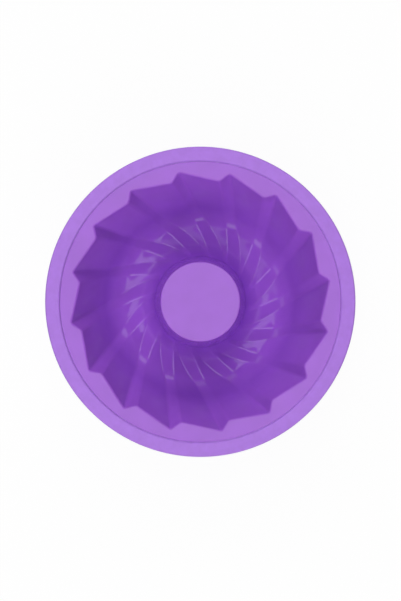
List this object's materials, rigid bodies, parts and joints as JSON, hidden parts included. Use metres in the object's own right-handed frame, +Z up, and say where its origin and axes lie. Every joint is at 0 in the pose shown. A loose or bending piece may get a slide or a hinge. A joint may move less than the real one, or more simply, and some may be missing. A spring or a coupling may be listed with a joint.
{
  "type": "silicone cake mould",
  "caption": "Round ring-cake mould of flexible silicone with swirled flutes, a flat flange with a raised rim band and a closed tapered centre tube.",
  "frame": {"origin": "on the ring's axis, in the plane that the mould stands on, mouth up", "axes": "+Z up along the ring's axis, out of the mouth; +X through the mouth tip of flute_01"},
  "size_m": [0.25, 0.25, 0.07],
  "materials": {
    "silicone_gloss": "gloss",
    "silicone_frosted": "satin"
  },
  "bodies": {
    "root": {"rim_band": "silicone_frosted", "rim_flange": "silicone_gloss", "flute_01": "silicone_gloss", "flute_02": "silicone_gloss", "flute_03": "silicone_gloss", "flute_04": "silicone_gloss", "flute_05": "silicone_gloss", "flute_06": "silicone_gloss", "flute_07": "silicone_gloss", "flute_08": "silicone_gloss", "flute_09": "silicone_gloss", "flute_10": "silicone_gloss", "flute_11": "silicone_gloss", "flute_12": "silicone_gloss", "flute_13": "silicone_gloss", "flute_14": "silicone_gloss", "flute_15": "silicone_gloss", "flute_16": "silicone_gloss", "tube_foot": "silicone_gloss", "centre_tube": "silicone_gloss", "tube_cap": "silicone_gloss"}
  },
  "joints": []
}
